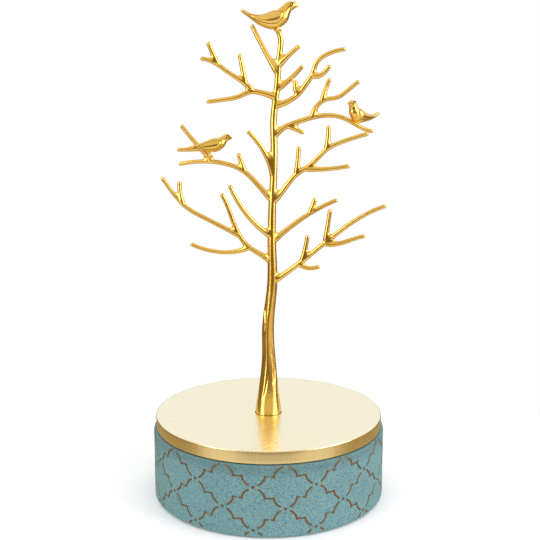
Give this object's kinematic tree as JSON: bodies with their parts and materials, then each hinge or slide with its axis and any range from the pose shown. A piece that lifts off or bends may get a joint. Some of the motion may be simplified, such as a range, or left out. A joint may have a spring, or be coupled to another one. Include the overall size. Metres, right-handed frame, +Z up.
{
  "type": "jewelry stand",
  "caption": "Cast metal tree with perched birds on the lift-off lid of a round leatherette trinket box; necklaces, rings and earrings hang on its branches.",
  "frame": {"origin": "middle of the underside of the felt pad, where the stand rests on a table", "axes": "+Z up along the trunk; the branches spread along X, with +X to the viewer's right; +Y away from the viewer"},
  "size_m": [0.15, 0.15, 0.3128],
  "materials": {
    "gold_cast": "polished gold-plated casting",
    "lid_metal": "fine brushed pale gold",
    "leatherette": "grained, printed with a trellis of brown lines",
    "board": "raw fibreboard",
    "velvet": "short pile",
    "felt": "pressed felt",
    "steel": "zinc plated"
  },
  "bodies": {
    "box": {"foot_pad": "felt", "floor_board": "board", "wall_ring": "board", "leather_wrap": "leatherette", "wall_lining": "velvet", "floor_cushion": "velvet"},
    "lid": {"lid_cap": "lid_metal", "lid_core": "board", "lid_panel": "velvet", "screw_washer": "steel", "trunk_screw": "steel", "trunk": "gold_cast", "limb_right_1": "gold_cast", "limb_right_2": "gold_cast", "limb_right_3": "gold_cast", "limb_right_4": "gold_cast", "limb_right_5": "gold_cast", "limb_right_6": "gold_cast", "limb_right_7": "gold_cast", "limb_left_1": "gold_cast", "limb_left_2": "gold_cast", "limb_left_3": "gold_cast", "limb_left_4": "gold_cast", "limb_left_5": "gold_cast", "limb_left_6": "gold_cast", "bird_top": "gold_cast", "bird_left": "gold_cast", "bird_right": "gold_cast"}
  },
  "joints": [
    {"name": "lid_lift", "type": "slide", "parent": "box", "child": "lid", "axis": [0, 0, 1], "range_m": [0, 0.12]}
  ]
}
